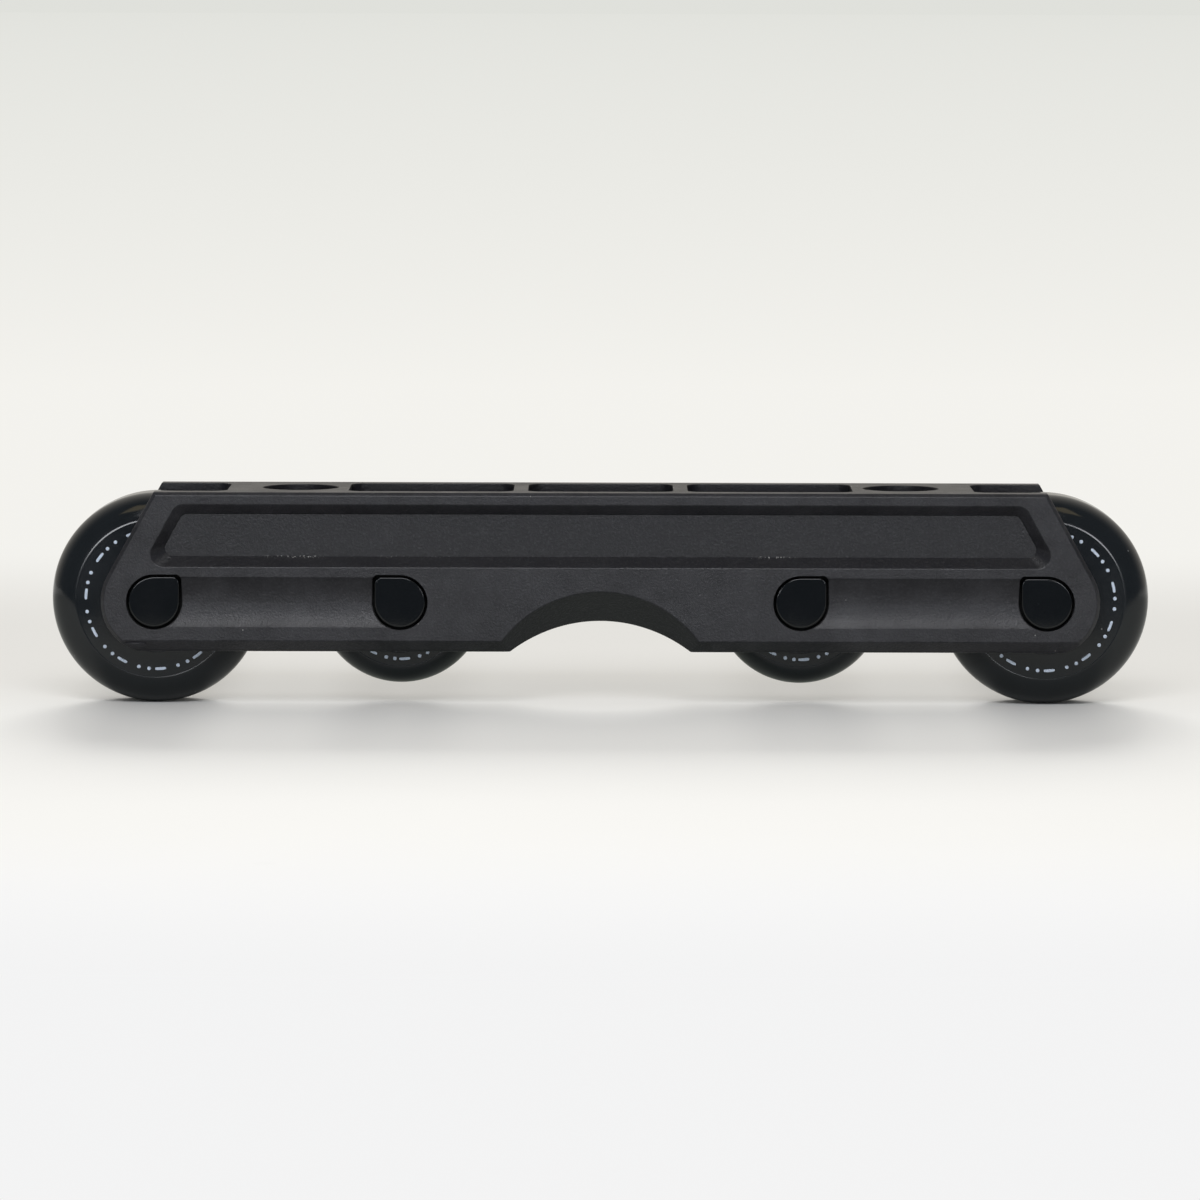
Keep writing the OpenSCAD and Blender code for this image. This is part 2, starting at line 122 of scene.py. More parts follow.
# A named object from points and faces, turned outwards by its volume's sign, smooth below the crease angle
def makePiece(name, points, faces, look, crease):
    mesh = bpy.data.meshes.new(name)
    mesh.from_pydata(points.tolist(), [], faces)
    shell = bmesh.new()
    shell.from_mesh(mesh)
    if shell.calc_volume(signed=True) < 0:
        bmesh.ops.reverse_faces(shell, faces=shell.faces)
    shell.to_mesh(mesh)
    shell.free()
    mesh.shade_smooth()
    mesh.set_sharp_from_angle(angle=math.radians(crease))
    mesh.materials.append(look)
    piece = bpy.data.objects.new(name, mesh)
    bpy.context.scene.collection.objects.link(piece)
    return piece


# A named object from stacked rings
def makeRingPiece(name, rings, loop, look, crease):
    return makePiece(name, *joinRings(rings, loop), look, crease)


# Blunt oval: cosine and sine of the angle, each raised to its own power with its sign kept
def bluntOval(angle, powers):
    waves = np.cos(angle), np.sin(angle)
    return [np.sign(wave) * np.abs(wave) ** power for wave, power in zip(waves, powers)]


# Puts a finished piece on its body and hides the node that it stands for
def placePiece(piece, body, node=None):
    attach(piece, body)
    if node:
        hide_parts(node)


# Fills the named inputs of a node, each with a value or a link
def fillInputs(tree, node, inputs):
    for key, value in inputs.items():
        if isinstance(value, bpy.types.NodeSocket):
            tree.links.new(value, node.inputs[key])
        else:
            node.inputs[key].default_value = value


# Adds a node with its properties and inputs
def addNode(tree, kind, inputs=None, **settings):
    node = tree.nodes.new("ShaderNode" + kind)
    for key, value in settings.items():
        setattr(node, key, value)
    fillInputs(tree, node, inputs or {})
    return node


# One operation on two numbers or sockets
def calc(tree, operation, a, b=0.0, clamp=False):
    return addNode(tree, "Math", {0: a, 1: b}, operation=operation, use_clamp=clamp).outputs[0]


# Product of two numbers or sockets
def times(tree, a, b):
    return calc(tree, "MULTIPLY", a, b)


# Length of two parts at right angles: the root of the sum of their squares
def lengthOf(tree, a, b):
    return calc(tree, "SQRT", calc(tree, "ADD", calc(tree, "POWER", a, 2.0), calc(tree, "POWER", b, 2.0)))


# Moves a value from one span to another, held at both ends
def remap(tree, value, fromLow, fromHigh, toLow=0.0, toHigh=1.0, smooth=False):
    spans = {"Value": value, "From Min": fromLow, "From Max": fromHigh, "To Min": toLow, "To Max": toHigh}
    kind = "SMOOTHSTEP" if smooth else "LINEAR"
    return addNode(tree, "MapRange", spans, interpolation_type=kind, clamp=True).outputs[0]


# Colour sockets of the Mix node by number: its two inputs and its result
mixSockets = dict(first=6, second=7, result=2)


# Blend of two colours by a mask
def blendColour(tree, mask, first, second):
    node = addNode(tree, "Mix", {"Factor": mask}, data_type="RGBA")
    for end, colour in (("first", first), ("second", second)):
        linked = isinstance(colour, bpy.types.NodeSocket)
        fillInputs(tree, node, {mixSockets[end]: colour if linked else (*colour, 1)})
    return node.outputs[mixSockets["result"]]


# Value between two ends by a share
def between(tree, share, low, high):
    return remap(tree, share, 0.0, 1.0, low, high)


# Noise at a point; the dictionaries give its detail, roughness and distortion in this order
def noiseAt(tree, point, scale, detail, roughness=0.5, distortion=0.0):
    return addNode(tree, "TexNoise", {
        "Vector": point, "Scale": scale, "Detail": detail, "Roughness": roughness,
        "Distortion": distortion}).outputs[0]


# An empty shader group that takes a point and named numbers, and gives named numbers
def startGroup(name, takes, gives):
    tree = bpy.data.node_groups.new(name, "ShaderNodeTree")
    tree.interface.new_socket("Point", in_out="INPUT", socket_type="NodeSocketVector")
    for label in takes:
        tree.interface.new_socket(label, in_out="INPUT", socket_type="NodeSocketFloat")
    for label in gives:
        tree.interface.new_socket(label, in_out="OUTPUT", socket_type="NodeSocketFloat")
    return tree, tree.nodes.new("NodeGroupInput").outputs, tree.nodes.new("NodeGroupOutput")


# Moulded grain: fine noise gives the height, small cells give bright fibre ends, wide noise gives mottling.
# The scales of cells and wide noise are shares of the grain's own
grainFacts = dict(
    fine=(3.0, 0.6), cellShare=0.45, fibre=(0.26, 0.1), wideShare=0.06, wide=(6.0, 0.75), mottle=(0.32, 0.7))


def buildMouldedGrain():
    facts = grainFacts
    tree, given, result = startGroup("mouldedGrain", ["Scale"], ["Height", "Fibre", "Mottle"])
    point, scale = given["Point"], given["Scale"]
    fine = noiseAt(tree, point, scale, *facts["fine"])
    cellScale = times(tree, scale, facts["cellShare"])
    cells = addNode(tree, "TexVoronoi", {"Vector": point, "Scale": cellScale}).outputs["Distance"]
    wide = noiseAt(tree, point, times(tree, scale, facts["wideShare"]), *facts["wide"])
    fibre = remap(tree, cells, *facts["fibre"])
    fillInputs(tree, result, {"Height": fine, "Fibre": fibre, "Mottle": remap(tree, wide, *facts["mottle"])})
    return tree


# Handling: wide soft smears and thin hairlines, each the part of a noise that rises over a level. The noise
# of the hairlines is turned and drawn out
handlingFacts = dict(
    wide=(4.0, 0.55, 0.8), smear=(0.35, 0.72), turn=(0.2, 0.5, 0.3), draw=(1.0, 9.0, 14.0), lineShare=6.0,
    lineDetail=2.0, hairline=(0.66, 0.74))


def buildHandling():
    facts = handlingFacts
    tree, given, result = startGroup("handling", ["Scale"], ["Smear", "Hairline"])
    point, scale = given["Point"], given["Scale"]
    wide = noiseAt(tree, point, scale, *facts["wide"])
    turned = {"Vector": point, "Rotation": facts["turn"], "Scale": facts["draw"]}
    drawn = addNode(tree, "Mapping", turned).outputs[0]
    lines = noiseAt(tree, drawn, times(tree, scale, facts["lineShare"]), facts["lineDetail"])
    fillInputs(tree, result, {
        "Smear": remap(tree, wide, *facts["smear"]), "Hairline": remap(tree, lines, *facts["hairline"])})
    return tree


# Stray dust: the middle of a few cells, chosen and sized by the cell's own random colour
dustFacts = dict(size=(0.04, 0.13))


def buildStrayDust():
    tree, given, result = startGroup("strayDust", ["Scale", "Share"], ["Dust"])
    cells = addNode(tree, "TexVoronoi", {"Vector": given["Point"], "Scale": given["Scale"]}).outputs
    colour = addNode(tree, "SeparateColor", {"Color": cells["Color"]}).outputs
    chosen = calc(tree, "LESS_THAN", colour[0], given["Share"])
    spot = calc(tree, "LESS_THAN", cells["Distance"], between(tree, colour[1], *dustFacts["size"]))
    fillInputs(tree, result, {"Dust": times(tree, chosen, spot)})
    return tree


# Lathe rings: noise along the distance from the axle, so it is the same all the way round
latheFacts = dict(fine=(2.0, 0.7), tone=(0.3, 0.7))


def buildLatheRings():
    tree, given, result = startGroup("latheRings", ["Scale"], ["Height", "Tone"])
    parts = addNode(tree, "SeparateXYZ", {"Vector": given["Point"]}).outputs
    place = addNode(tree, "CombineXYZ", {"X": lengthOf(tree, parts[0], parts[2]), "Y": parts[1]}).outputs[0]
    fine = noiseAt(tree, place, given["Scale"], *latheFacts["fine"])
    fillInputs(tree, result, {"Height": fine, "Tone": remap(tree, fine, *latheFacts["tone"])})
    return tree


mouldedGrain = buildMouldedGrain()
handling = buildHandling()
strayDust = buildStrayDust()
latheRings = buildLatheRings()
print("shader groups built")


# A material with a Principled shader and Object coordinates, moved so that the given place is their middle
def startLook(name, constants, middle=None):
    look = bpy.data.materials.new(name)
    look.use_nodes = True
    tree = look.node_tree
    tree.nodes.clear()
    shader = addNode(tree, "BsdfPrincipled", constants)
    addNode(tree, "OutputMaterial", {"Surface": shader.outputs[0]})
    point = addNode(tree, "TexCoord").outputs["Object"]
    if middle is not None:
        shift = tuple(-v * mm for v in middle)
        point = addNode(tree, "Mapping", {"Vector": point, "Location": shift}).outputs[0]
    return look, tree, shader, point


# Links a colour, a roughness and a bump over a height to a shader
def finishLook(tree, shader, colour, rough, height, bump, rise):
    grain = addNode(tree, "Bump", {"Strength": bump, "Distance": rise, "Height": height}).outputs[0]
    fillInputs(tree, shader, {"Base Color": colour, "Roughness": rough, "Normal": grain})


# Places a shared group in a material with its own scale and other values
def useGroup(tree, group, point, scale, more=None):
    node = addNode(tree, "Group", node_tree=group)
    fillInputs(tree, node, {"Point": point, "Scale": scale, **(more or {})})
    return node.outputs


# Stray dust of a look, shown in part
def dustOn(tree, point, facts):
    dust = useGroup(tree, strayDust, point, facts["dustScale"], {"Share": facts["dustPart"]})["Dust"]
    return times(tree, dust, facts["dustShown"])


# Distance along the frame from the nearest axle: the length off the middle, folded midway between two axles
def offAxle(tree, along):
    length = calc(tree, "ABSOLUTE", along)
    fold = calc(tree, "ABSOLUTE", calc(tree, "SUBTRACT", length, (outerAxle + innerAxle) / 2))
    return calc(tree, "SUBTRACT", fold, (outerAxle - innerAxle) / 2)


# Frame nylon: dark grey base mottled a little, fibre ends that glint, grain in the height, dust in the low
# edge of the panel, painted shade in the panel, the groove and the low border, and a painted near-black shade
# in the gap round the axle heads
nylonFacts = dict(
    ior=1.5, grain=1500.0, bump=1.0, rise=0.00015, smear=70.0, rough=(0.43, 0.34), roughGap=1.0,
    dark=(0.0062, 0.006, 0.0086), pale=(0.0245, 0.024, 0.0285), fibreTone=(0.085, 0.084, 0.092),
    fibreShare=0.1, grainShare=0.16, grainSpan=(0.5, 0.75), panelDepth=(17.5, 17.2), panelShadeShare=0.7,
    sideDepth=(19.95, 19.75), sideShadeShare=0.9, split=(36.5, 37.0), grooveReach=(31.0, 30.0),
    borderTop=(50.0, 44.0), dustTone=(0.62, 0.61, 0.59), dustScale=520.0, dustPart=0.02, dustShown=0.35,
    edgeZ=41.3, edgeHigh=(0.45, 0.0), edgeY=17.0, edgeDeep=(0.7, 0.21), crumb=2600.0, crumbSpan=(0.63, 0.68),
    patch=38.0, patchSpan=(0.5, 0.6), detail=1.0, gapShadeTone=(0.001, 0.001, 0.001), gapReach=(7.95, 7.6),
    gapDepth=(19.8, 19.5), cornerReach=10.6, cornerDepth=(18.1, 17.8))


def makeFrameNylon():
    facts = nylonFacts
    look, tree, shader, point = startLook("frameNylon", {"IOR": facts["ior"]})
    grain = useGroup(tree, mouldedGrain, point, facts["grain"])
    marks = useGroup(tree, handling, point, facts["smear"])
    parts = addNode(tree, "SeparateXYZ", {"Vector": point}).outputs
    across, depth = calc(tree, "ABSOLUTE", parts[0]), calc(tree, "ABSOLUTE", parts[1])

    # share of a value within a span that is given in millimetres
    def span(value, label, toHigh=1.0):
        return remap(tree, value, facts[label][0] * mm, facts[label][1] * mm, 0.0, toHigh)

    # distance of a value from a place that is given in millimetres
    def apart(value, label):
        return calc(tree, "ABSOLUTE", calc(tree, "SUBTRACT", value, facts[label] * mm))

    # the part of a noise that rises over a level
    def strew(scale, label):
        return remap(tree, noiseAt(tree, point, facts[scale], facts["detail"]), *facts[label])

    # painted shade: the panel's floor and low border, the groove's sides and the inner sides are darker than
    # the outer walls, standing in for the shade that falls in these hollows
    raised = span(parts[2], "split")
    border = times(tree, raised, span(parts[2], "borderTop"))
    groove = times(tree, calc(tree, "SUBTRACT", 1.0, raised), span(across, "grooveReach"))
    edges = calc(tree, "ADD", border, groove)
    sides = times(tree, span(depth, "sideDepth", facts["sideShadeShare"]), edges)
    inner = calc(tree, "MAXIMUM", span(depth, "panelDepth", facts["panelShadeShare"]), sides)
    tone = calc(tree, "SUBTRACT", grain["Mottle"], inner, clamp=True)
    base = blendColour(tree, tone, facts["dark"], facts["pale"])
    specks = times(tree, remap(tree, grain["Height"], *facts["grainSpan"]), facts["grainShare"])
    ends = calc(tree, "ADD", times(tree, grain["Fibre"], facts["fibreShare"]), specks)
    fibres = blendColour(tree, ends, base, facts["fibreTone"])
    # dust caught where the panel's floor meets its lower border
    low = span(apart(parts[2], "edgeZ"), "edgeHigh")
    deep = span(apart(depth, "edgeY"), "edgeDeep")
    crumbs = times(tree, strew("crumb", "crumbSpan"), strew("patch", "patchSpan"))
    caught = times(tree, times(tree, low, deep), crumbs)
    shown = calc(tree, "MAXIMUM", dustOn(tree, point, facts), caught, clamp=True)
    dusty = blendColour(tree, shown, fibres, facts["dustTone"])
    # painted shade in the gap round each axle head, near black and fully rough: near an axle and below the
    # outer side
    above = calc(tree, "SUBTRACT", parts[2], axlePlace("rear")[2] * mm)
    radius = lengthOf(tree, offAxle(tree, parts[0]), above)
    ring = times(tree, span(radius, "gapReach"), span(depth, "gapDepth"))
    corner = calc(tree, "LESS_THAN", radius, facts["cornerReach"] * mm)
    gap = calc(tree, "MAXIMUM", ring, times(tree, corner, span(depth, "cornerDepth")))
    colour = blendColour(tree, gap, dusty, facts["gapShadeTone"])
    rough = between(tree, gap, between(tree, marks["Smear"], *facts["rough"]), facts["roughGap"])
    finishLook(tree, shader, colour, rough, grain["Height"], facts["bump"], facts["rise"])
    return look


# Smooth finishes: blue black cast urethane, and the black of the axle heads and screws
blackShared = dict(
    ior=1.5, dustTone=(0.4, 0.4, 0.4), dustScale=700.0, dustPart=0.05, dustShown=0.25, smear=130.0,
    hairline=0.0, grain=3000.0, bump=0.08, rise=0.00005)
smoothFacts = dict(
    castUrethane=dict(
        ior=1.5, deep=(0.0047, 0.0067, 0.0082), soft=(0.0074, 0.0096, 0.0116), dustTone=(0.5, 0.5, 0.5),
        dustScale=420.0, dustPart=0.03, dustShown=0.3, smear=55.0, rough=(0.1, 0.16), hairline=0.06,
        grain=1500.0, bump=0.04, rise=0.0001),
    axleBlack=dict(
        blackShared, deep=(0.0022, 0.0032, 0.0038), soft=(0.0036, 0.0046, 0.0054), rough=(0.05, 0.09)),
    screwBlack=dict(
        blackShared, deep=(0.009, 0.0095, 0.0105), soft=(0.015, 0.0155, 0.0165), rough=(0.26, 0.4)))


# Mottled tone with stray dust, smears and hairlines in the gloss, and a very shallow ripple
def makeSmooth(name):
    facts = smoothFacts[name]
    look, tree, shader, point = startLook(name, {"IOR": facts["ior"]})
    marks = useGroup(tree, handling, point, facts["smear"])
    grain = useGroup(tree, mouldedGrain, point, facts["grain"])
    tone = blendColour(tree, grain["Mottle"], facts["deep"], facts["soft"])
    colour = blendColour(tree, dustOn(tree, point, facts), tone, facts["dustTone"])
    smeared = between(tree, marks["Smear"], *facts["rough"])
    rough = calc(tree, "ADD", smeared, times(tree, marks["Hairline"], facts["hairline"]))
    finishLook(tree, shader, colour, rough, grain["Height"], facts["bump"], facts["rise"])
    return look


# Print ink: cool white, a little thin where the grain is high
inkFacts = dict(
    ior=1.45, solid=(0.62, 0.7, 0.82), thin=(0.38, 0.44, 0.54), rough=(0.35, 0.5), grain=3800.0,
    worn=(0.52, 0.72))


def makeInk():
    facts = inkFacts
    look, tree, shader, point = startLook("printInk", {"IOR": facts["ior"]})
    grain = useGroup(tree, mouldedGrain, point, facts["grain"])
    worn = remap(tree, grain["Height"], *facts["worn"])
    colour = blendColour(tree, worn, facts["solid"], facts["thin"])
    fillInputs(tree, shader, {"Base Color": colour, "Roughness": between(tree, worn, *facts["rough"])})
    return look


# Moulded plastic of the hubs and ball cages: grain in the height, a mottled tone and smears in the gloss
plasticShared = dict(ior=1.48, smear=90.0, bump=0.18, rise=0.00006)
plasticFacts = dict(
    hubNylon=dict(
        plasticShared, dark=(0.016, 0.0165, 0.0185), pale=(0.025, 0.0255, 0.028), rough=(0.46, 0.34),
        grain=4200.0),
    cageNylon=dict(
        plasticShared, dark=(0.23, 0.17, 0.075), pale=(0.3, 0.23, 0.11), rough=(0.5, 0.38), grain=3600.0))


def makeMouldedPlastic(name):
    facts = plasticFacts[name]
    look, tree, shader, point = startLook(name, {"IOR": facts["ior"]})
    grain = useGroup(tree, mouldedGrain, point, facts["grain"])
    marks = useGroup(tree, handling, point, facts["smear"])
    tone = blendColour(tree, grain["Mottle"], facts["dark"], facts["pale"])
    rough = between(tree, marks["Smear"], *facts["rough"])
    finishLook(tree, shader, tone, rough, grain["Height"], facts["bump"], facts["rise"])
    return look


frameNylon = makeFrameNylon()
castUrethane = makeSmooth("castUrethane")
printInk = makeInk()
axleBlack = makeSmooth("axleBlack")
screwBlack = makeSmooth("screwBlack")
hubNylon = makeMouldedPlastic("hubNylon")
cageNylon = makeMouldedPlastic("cageNylon")
print("finishes built")


# Groove: the arch under the saddle and its two flared mouths, on true arcs; the flares are mitred to the
# bottom bevels. A border point goes to the rim point that is nearest by its weighted distances
grooveFacts = dict(
    side=20.0, skirt=15.2, bevel=3.2, throat=11.0, archLong=49.6, archRise=8.0, mouthLong=54.2,
    mouthRise=16.9, columns=65, flareRows=5, archRows=4, margin=2.0, match=(0.2, 1.0, 1.0))


# Radius of an arc and the height of its middle, from its chord, its rise and the height of its feet
def arcOf(chord, rise, foot):
    radius = (chord ** 2 / 4 + rise ** 2) / (2 * rise)
    return radius, foot + rise - radius


# Rows of the groove's points from one side to the other. Each flare is a cone about the middle of its mouth:
# its radius falls as fast as its depth until it meets the arch. The arch runs straight from flare to flare
def grooveRows():
    facts = grooveFacts
    side, skirt, bevel = facts["side"], facts["skirt"], facts["bevel"]
    archRadius, archMiddle = arcOf(facts["archLong"], facts["archRise"], skirt)
    mouthRadius, mouthMiddle = arcOf(facts["mouthLong"], facts["mouthRise"] - bevel, skirt + bevel)
    inward = mouthRadius - side
    corner = math.hypot(facts["archLong"] / 2, skirt - mouthMiddle) - inward

    # half the angle of a flare at a depth: its arc ends on the bottom or on the bevel
    def halfAngle(depth):
        foot = skirt + np.maximum(depth - side + bevel, 0)
        return np.arccos((foot - mouthMiddle) / (depth + inward))

    share = np.linspace(-1, 1, facts["columns"])
    apart = mouthMiddle - archMiddle
    last = share * halfAngle(corner)
    meet = np.sqrt(archRadius ** 2 - (apart * np.sin(last)) ** 2) - apart * np.cos(last) - inward
    down = np.append(np.linspace(0, bevel / (side - corner), facts["flareRows"]), 1.0)
    depth = side - down[:, None] * (side - meet)
    angle = share * halfAngle(np.maximum(depth, corner))
    x = (depth + inward) * np.sin(angle)
    z = (depth + inward) * np.cos(angle) + mouthMiddle
    flare = np.stack([x, -depth, z], axis=-1)
    across = np.linspace(-1, 1, facts["archRows"] + 2)[1:-1, None]
    arch = np.stack(np.broadcast_arrays(x[-1], meet * across, z[-1]), axis=-1)
    return np.concatenate([flare, arch, flare[::-1] * (1, -1, 1)]) * mm


# Takes out the moulding's groove, sets the border that is left on the rim of the rows, and fills it with them
def recutGroove(shell, merge):
    facts = grooveFacts
    rows = grooveRows()
    reach = np.abs(rows[..., 0]).max() + facts["margin"] * mm
    bottom = facts["skirt"] * mm
    roof = bottom + (facts["archRise"] + facts["margin"]) * mm

    # a face between the feet, above the bottom and below a roof that rises as the flares do
    def inGroove(face):
        middle = face.calc_center_median()
        top = roof + max(abs(middle.y) - facts["throat"] * mm, 0)
        return bottom + merge < middle.z < top and all(abs(v.co.x) < reach for v in face.verts)

    bmesh.ops.delete(shell, geom=[f for f in shell.faces if inGroove(f)], context="FACES")
    border = [v for v in shell.verts if v.is_boundary]
    loose = [v for v in border if len(v.link_edges) == 2]
    stay = [v for v in border if len(v.link_edges) > 2]
    for point in loose:
        bmesh.utils.vert_collapse_edge(point, point.link_edges[0])
    rim = np.concatenate([rows[0], rows[1:, -1], rows[-1, -2::-1], rows[-2:0:-1, 0]])
    places = [int(np.abs((rim - np.array(v.co)) * facts["match"]).sum(axis=1).argmin()) for v in stay]
    order = np.argsort(places)
    for this, after in zip(order, np.roll(order, -1)):
        start, stop = stay[this], stay[after]
        start.co = rim[places[this]]
        for index in range(1, (places[after] - places[this]) % len(rim)):
            edge = next(e for e in start.link_edges if e.is_boundary and e.other_vert(start) == stop)
            start = bmesh.utils.edge_split(edge, start, 0.5)[1]
            start.co = rim[(places[this] + index) % len(rim)]
    count, width = rows.shape[:2]
    first = (np.arange(count - 1)[:, None] * width + np.arange(width - 1)).ravel()
    patch = bpy.data.meshes.new("groovePatch")
    quads = np.stack([first, first + width, first + width + 1, first + 1], axis=-1)
    patch.from_pydata(rows.reshape(-1, 3).tolist(), [], quads.tolist())
    shell.from_mesh(patch)
    bpy.data.meshes.remove(patch)
    bmesh.ops.remove_doubles(shell, verts=shell.verts, dist=merge)
    openEdges = sum(e.is_boundary for e in shell.edges)
    print("groove:", len(quads), "faces on", len(stay), "corners,", openEdges, "open edges")


# Frame: a merged copy of the moulded chassis with its groove cut again and its outer edges rounded
frameFacts = dict(
    round=0.22, segments=3, profile=0.5, seatRound=0.07, seatReach=9.6, seatDepth=0.95, edgeAngle=22.0,
    stray=0.25, merge=0.002, flat=0.3, crease=62.0, weight=80)


# Outer edges that turn by more than an angle become an arc of the given width, and inner corners stay crisp.
# A point that this throws off goes back to the nearest place on the moulding, and all points are held in the
# node's box
def makeFrame():
    facts = frameFacts
    low, high = (np.array(corner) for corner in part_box("frame"))
    mesh = nodes["frame"].data.copy()
    mesh.name = "chassisShell"
    shell = bmesh.new()
    shell.from_mesh(mesh)
    bmesh.ops.remove_doubles(shell, verts=shell.verts, dist=facts["merge"] * mm)
    bmesh.ops.dissolve_limit(
        shell, angle_limit=math.radians(facts["flat"]), verts=shell.verts, edges=shell.edges)
    recutGroove(shell, facts["merge"] * mm)
    moulding = BVHTree.FromBMesh(shell)
    turn = math.radians(facts["edgeAngle"])
    axles = [axlePlace(station) * mm for station in stations]
    reach = facts["seatReach"] * mm

    # an edge on the outer side round an axle
    def atSeat(edge):
        return all(
            abs(v.co.y) > facts["seatDepth"] * high[1]
            and min(math.hypot(v.co.x - a[0], v.co.z - a[2]) for a in axles) < reach
            for v in edge.verts)

    hard = [e for e in shell.edges if e.is_convex and e.calc_face_angle(0) > turn]
    seats = [e for e in hard if atSeat(e)]
    others = [e for e in hard if not atSeat(e)]
    for edges, size in ((seats, facts["seatRound"]), (others, facts["round"])):
        bmesh.ops.bevel(
            shell, geom=[e for e in edges if e.is_valid], offset=size * mm, offset_type="OFFSET",
            segments=facts["segments"], profile=facts["profile"], affect="EDGES", clamp_overlap=False,
            miter_outer="SHARP", miter_inner="SHARP")
    for point in shell.verts:
        near = moulding.find_nearest(point.co)[0]
        if (point.co - near).length > facts["stray"] * mm:
            point.co = near
    crease = math.radians(facts["crease"])
    for edge in shell.edges:
        edge.smooth = edge.calc_face_angle(0) < (crease if edge.is_convex else turn)
    for face in shell.faces:
        face.smooth = True
    shell.to_mesh(mesh)
    shell.free()
    place = np.empty(len(mesh.vertices) * 3, np.float32)
    mesh.vertices.foreach_get("co", place)
    held = np.clip(place.reshape(-1, 3), low, high)
    mesh.vertices.foreach_set("co", held.astype(np.float32).ravel())
    mesh.update()
    mesh.materials.clear()
    mesh.materials.append(frameNylon)
    piece = bpy.data.objects.new("chassisShell", mesh)
    bpy.context.scene.collection.objects.link(piece)
    weighted = piece.modifiers.new("evenShading", "WEIGHTED_NORMAL")
    weighted.mode = "FACE_AREA"
    weighted.weight = facts["weight"]
    weighted.keep_sharp = True
    placePiece(piece, "chassis", "frame")
    print("frame:", len(hard), "edges rounded,", len(mesh.polygons), "faces")


makeFrame()

# Gate mark: a low oval left by the mould on the skirt's bevel, at the rear end
gateFacts = dict(
    middle=(-127.6, -18.9, 17.3), half=(2.9, 0.8), powers=(0.5, 0.7), shrink=(1.0, 1.0, 0.8),
    lift=(-0.06, 0.24, 0.4), points=48, crease=40.0)


# The oval lies on a plane at half a right angle; its top ring is shrunk and lifted along the plane's normal
def makeGateMark():
    facts = gateFacts
    shrink, lift = (np.array(facts[label])[:, None] for label in ("shrink", "lift"))
    oval = bluntOval(roundAngles(facts["points"]), facts["powers"])
    along, down = (shrink * half * wave for half, wave in zip(facts["half"], oval))
    x, y, z = facts["middle"]
    slope = math.sqrt(0.5)
    rings = np.stack([x + along, y + slope * (down - lift), z - slope * (down + lift)], axis=-1) * mm
    piece = makeRingPiece("gateMark", rings, False, frameNylon, facts["crease"])
    placePiece(piece, "chassis")


makeGateMark()


# Tyres: cast round the hub, flat side face inside a low bead, round shoulders and a flat tread
tyreFacts = dict(
    width=24.0, tread=8.0, hub=14.5, ridgeRise=1.2, ridgeLow=4.5, ridgeHigh=7.5, ridgeSlope=0.6,
    hubRound=0.05, flatEnd=0.15, bead=0.5, beadRound=3.8, beadIn=4.6, beadOut=8.5, beadPoints=22,
    beadFoot=0.3, pull=0.55, clear=0.02, shoulderPoints=44, roundSteps=6, turnSteps=256, crease=50.0)
tyreFaces = {"rear": 21.3, "rear_antirocker": 18.0, "front_antirocker": 18.0, "front": 21.3}


# Bead of a tyre: an arc of its round from the inner to the outer tilt, its crest just inside the tyre's width
def beadArc(face):
    facts = tyreFacts
    tilt = np.radians(np.linspace(-facts["beadIn"], facts["beadOut"], facts["beadPoints"]))
    crest = facts["width"] / 2 - facts["clear"]
    return np.stack([
        face + facts["bead"] + facts["beadRound"] * np.sin(tilt),
        crest - facts["beadRound"] * (1 - np.cos(tilt))], axis=-1)


# Ridge that keys hub and tyre together: its four corners as radius and depth, on the hub's radius
def keyRidge(hub):
    facts = tyreFacts
    top, slope = hub + facts["ridgeRise"], facts["ridgeSlope"]
    low, high = facts["ridgeLow"], facts["ridgeHigh"]
    return [[hub, low], [top, low + slope], [top, high - slope], [hub, high]]


# A half section and its mirror image about the wheel's middle, with soft corners
def mirrorSection(half, soft, steps):
    soft = np.asarray(soft, float)
    return roundCorners(np.vstack([half, half[::-1] * [1, -1]]), np.concatenate([soft, soft[::-1]]), steps)


# Half section from the hub to the edge of the tread; the shoulder is a cubic curve from the bead to the tread
def tyreSection(outer, face):
    facts = tyreFacts
    tread, hub = facts["tread"] / 2, facts["hub"]
    bead = beadArc(face)
    start, stop = bead[-1], np.array([outer, tread])
    lean = math.radians(facts["beadOut"])
    reach = facts["pull"] * (stop - start)
    first = start + reach[0] * np.array([math.cos(lean), -math.sin(lean)])
    second = stop - np.array([0, reach[1]])
    t = np.linspace(0, 1, facts["shoulderPoints"])[1:, None]
    shoulder = (
        (1 - t) ** 3 * start + 3 * t * (1 - t) ** 2 * first + 3 * t ** 2 * (1 - t) * second + t ** 3 * stop)
    ridge = keyRidge(hub)
    flat = [
        [hub, bead[0, 1]], [hub + facts["flatEnd"], bead[0, 1]], bead[0] - [2 * facts["beadFoot"], 0]]
    side = np.vstack([ridge, flat, bead, shoulder])
    # soft where the flat face meets the hub and where it meets the bead
    soft = np.zeros(len(side))
    soft[len(ridge)] = facts["hubRound"]
    soft[len(ridge) + len(flat)] = facts["beadFoot"]
    return mirrorSection(side, soft, facts["roundSteps"])


def makeTyre(station):
    low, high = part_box(station + "_tyre")
    outer = (high.z - low.z) / mm / 2
    section = tyreSection(outer, tyreFaces[station])
    rings = turnSection(section, axlePlace(station), tyreFacts["turnSteps"])
    piece = makeRingPiece(station + "_castTyre", rings, True, castUrethane, tyreFacts["crease"])
    placePiece(piece, station + "_wheel", station + "_tyre")


# Print round the side faces: plain ticks with two dots after each, a thin film on the urethane
printFacts = dict(
    lift=(-0.02, 0.018, 0.03), shrink=(1.0, 1.0, 0.94), ticks=11, tickLong=3.0, tickWide=0.75, dotWide=1.0,
    tickPower=0.45, dotPower=1.0, first=0.21, gap=0.36, dotGap=0.26, dotShift=0.05, outline=28, crease=40.0,
    ring={"rear": 19.2, "rear_antirocker": 16.3, "front_antirocker": 16.3, "front": 19.2})


